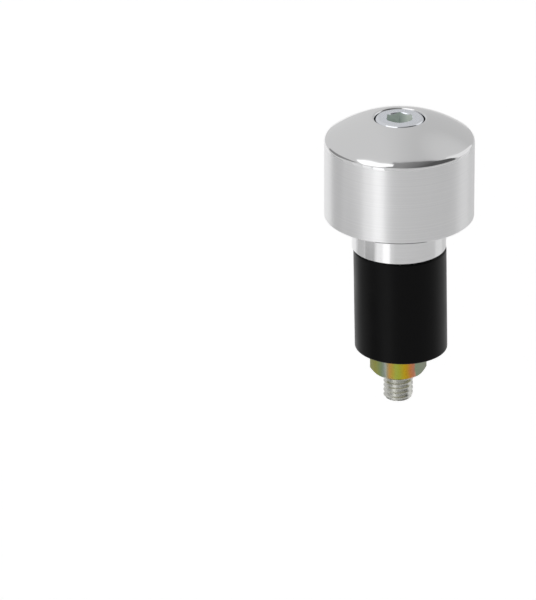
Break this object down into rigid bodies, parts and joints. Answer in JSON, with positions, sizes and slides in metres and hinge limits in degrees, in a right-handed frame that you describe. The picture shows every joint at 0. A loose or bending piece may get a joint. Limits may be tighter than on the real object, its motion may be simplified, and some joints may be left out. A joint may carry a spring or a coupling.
{
  "type": "bar end weight",
  "caption": "Domed aluminium bar end weight with a rubber expander sleeve, drawn up inside a tubular handlebar by a socket screw and a hexagon nut.",
  "frame": {"origin": "centre of the head's rear face, on the turning axis, where the end of the handlebar meets it", "axes": "+Z along the turning axis, from the handlebar out to the domed head"},
  "size_m": [0.03, 0.03, 0.061],
  "materials": {
    "turned_aluminium": "satin turned",
    "black_rubber": "smooth moulded, low sheen",
    "yellow_zinc_steel": "yellow chromate zinc plate, iridescent",
    "white_zinc_steel": "blue-white zinc plate"
  },
  "bodies": {
    "weight": {"weight_head": "turned_aluminium", "expander_sleeve": "black_rubber"},
    "screw": {"socket_screw": "white_zinc_steel"},
    "nut": {"hex_nut": "yellow_zinc_steel"}
  },
  "joints": [
    {"name": "screw_turn", "type": "hinge", "parent": "weight", "child": "screw", "pos_m": [0, 0, 0.015], "axis": [0, 0, -1], "range_deg": [0, 1080]},
    {"name": "nut_travel", "type": "slide", "parent": "weight", "child": "nut", "axis": [0, 0, 1], "range_m": [0, 0.003], "deforming": ["expander_sleeve"]}
  ],
  "couplings": [
    {"joint": "nut_travel", "follows": "screw_turn", "m_per_rad": 0.00015915}
  ]
}
